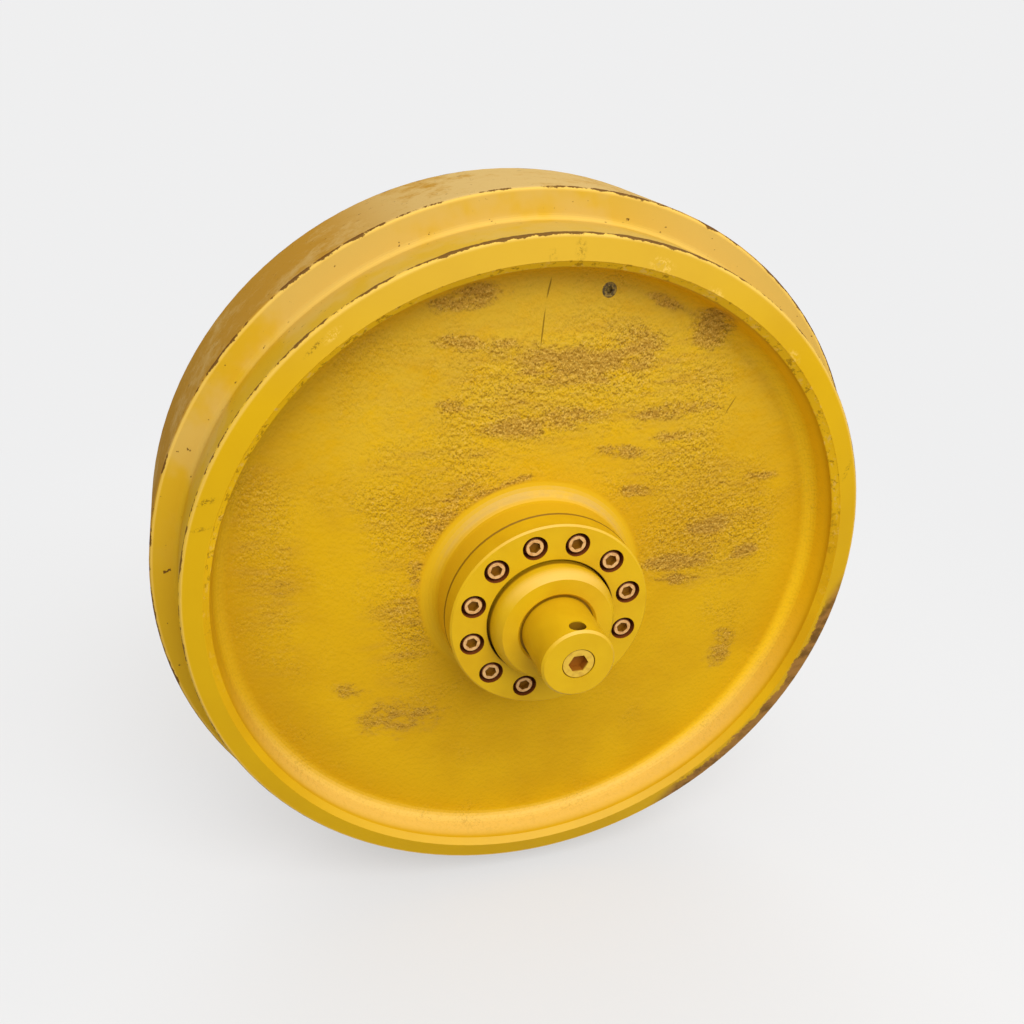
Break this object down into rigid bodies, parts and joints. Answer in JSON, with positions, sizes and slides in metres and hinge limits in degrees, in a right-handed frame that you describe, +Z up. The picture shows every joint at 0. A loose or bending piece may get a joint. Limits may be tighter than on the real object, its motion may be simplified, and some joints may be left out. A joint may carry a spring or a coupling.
{
  "type": "excavator front idler",
  "caption": "Front idler of a large excavator: a hollow, yellow-painted cast wheel with a centre flange that turns on a fixed shaft behind bolted seal covers.",
  "frame": {"origin": "centre of the wheel, on the spin axis at the mid-plane of the flange", "axes": "+Y along the spin axis towards the rear shaft end, the pictured face looks along -Y, +Z up with the locking holes on top"},
  "size_m": [0.862, 0.56, 0.862],
  "materials": {
    "yellow_paint": "worn satin yellow paint over a sand casting",
    "screw_steel": "oiled and slightly rusty",
    "bush_bronze": "machined",
    "seal_iron": "ground",
    "seal_rubber": "matt"
  },
  "bodies": {
    "shaft_assembly": {"shaft": "yellow_paint", "collar_front": "yellow_paint", "collar_rear": "yellow_paint", "collar_oring_front": "seal_rubber", "collar_oring_rear": "seal_rubber", "seal_ring_fixed_front": "seal_iron", "seal_ring_fixed_rear": "seal_iron", "seal_toric_fixed_front": "seal_rubber", "seal_toric_fixed_rear": "seal_rubber", "fill_plug_front": "screw_steel", "fill_plug_rear": "screw_steel"},
    "wheel": {"half_shell_front": "yellow_paint", "half_shell_rear": "yellow_paint", "rim_weld": "yellow_paint", "hub_weld": "seal_iron", "vent_plug_front": "screw_steel", "vent_plug_rear": "screw_steel", "bush_front": "bush_bronze", "bush_rear": "bush_bronze", "cover_front": "yellow_paint", "cover_rear": "yellow_paint", "cover_oring_front": "seal_rubber", "cover_oring_rear": "seal_rubber", "cover_screws_front": "screw_steel", "cover_screws_rear": "screw_steel", "seal_ring_rotating_front": "seal_iron", "seal_ring_rotating_rear": "seal_iron", "seal_toric_rotating_front": "seal_rubber", "seal_toric_rotating_rear": "seal_rubber"}
  },
  "joints": [
    {"name": "wheel_spin", "type": "hinge", "parent": "shaft_assembly", "child": "wheel", "pos_m": [0, 0, 0], "axis": [0, 1, 0], "continuous": true}
  ]
}
